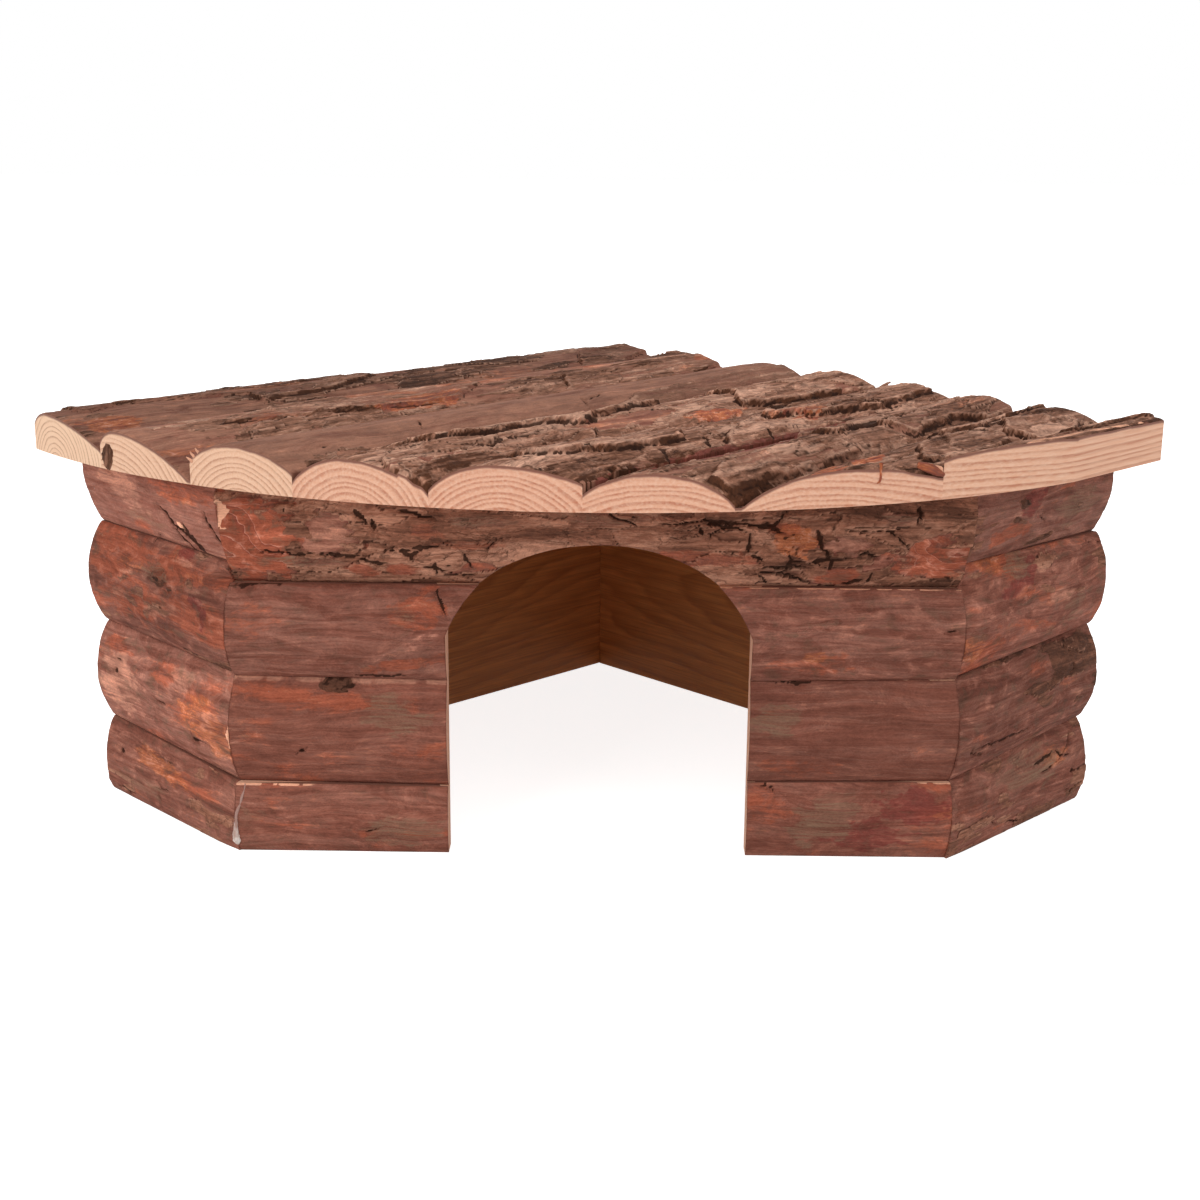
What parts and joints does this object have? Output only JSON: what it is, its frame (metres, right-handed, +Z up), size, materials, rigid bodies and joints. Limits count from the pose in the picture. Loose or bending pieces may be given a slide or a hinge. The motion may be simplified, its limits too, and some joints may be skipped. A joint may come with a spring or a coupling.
{
  "type": "small pet corner house",
  "caption": "Corner house for small pets: half-log bark slabs on three sides, arched doorway, plain rear boards and a quarter-round plank roof.",
  "frame": {"origin": "on the floor, under the middle of the roof's outline", "axes": "+Z up, doorway towards -Y, +X to the right of someone facing the doorway"},
  "size_m": [0.42, 0.311, 0.156],
  "materials": {
    "roof_log": "grey-brown bark, rough, with pale sawn ends",
    "wall_log": "red-brown bark, matt, with pale sawn edges",
    "rear_board": "planed softwood, satin",
    "inner_batten": "sawn softwood, matt",
    "brad_wire": "dull galvanised wire"
  },
  "bodies": {
    "root": {"roof_plank_1": "roof_log", "roof_plank_2": "roof_log", "roof_plank_3": "roof_log", "roof_plank_4": "roof_log", "roof_plank_5": "roof_log", "roof_plank_6": "roof_log", "roof_plank_7": "roof_log", "roof_plank_8": "roof_log", "front_left_slab_bottom": "wall_log", "front_left_slab_lower": "wall_log", "front_left_slab_upper": "wall_log", "front_right_slab_bottom": "wall_log", "front_right_slab_lower": "wall_log", "front_right_slab_upper": "wall_log", "front_slab_top": "wall_log", "left_side_slab_bottom": "wall_log", "left_side_slab_lower": "wall_log", "left_side_slab_upper": "wall_log", "left_side_slab_top": "wall_log", "right_side_slab_bottom": "wall_log", "right_side_slab_lower": "wall_log", "right_side_slab_upper": "wall_log", "right_side_slab_top": "wall_log", "rear_left_board": "rear_board", "rear_right_board": "rear_board", "left_post": "inner_batten", "right_post": "inner_batten", "roof_batten_rear": "inner_batten", "roof_batten_front": "inner_batten", "front_brads": "brad_wire", "left_side_brads": "brad_wire", "right_side_brads": "brad_wire", "rear_brads": "brad_wire"}
  },
  "joints": []
}
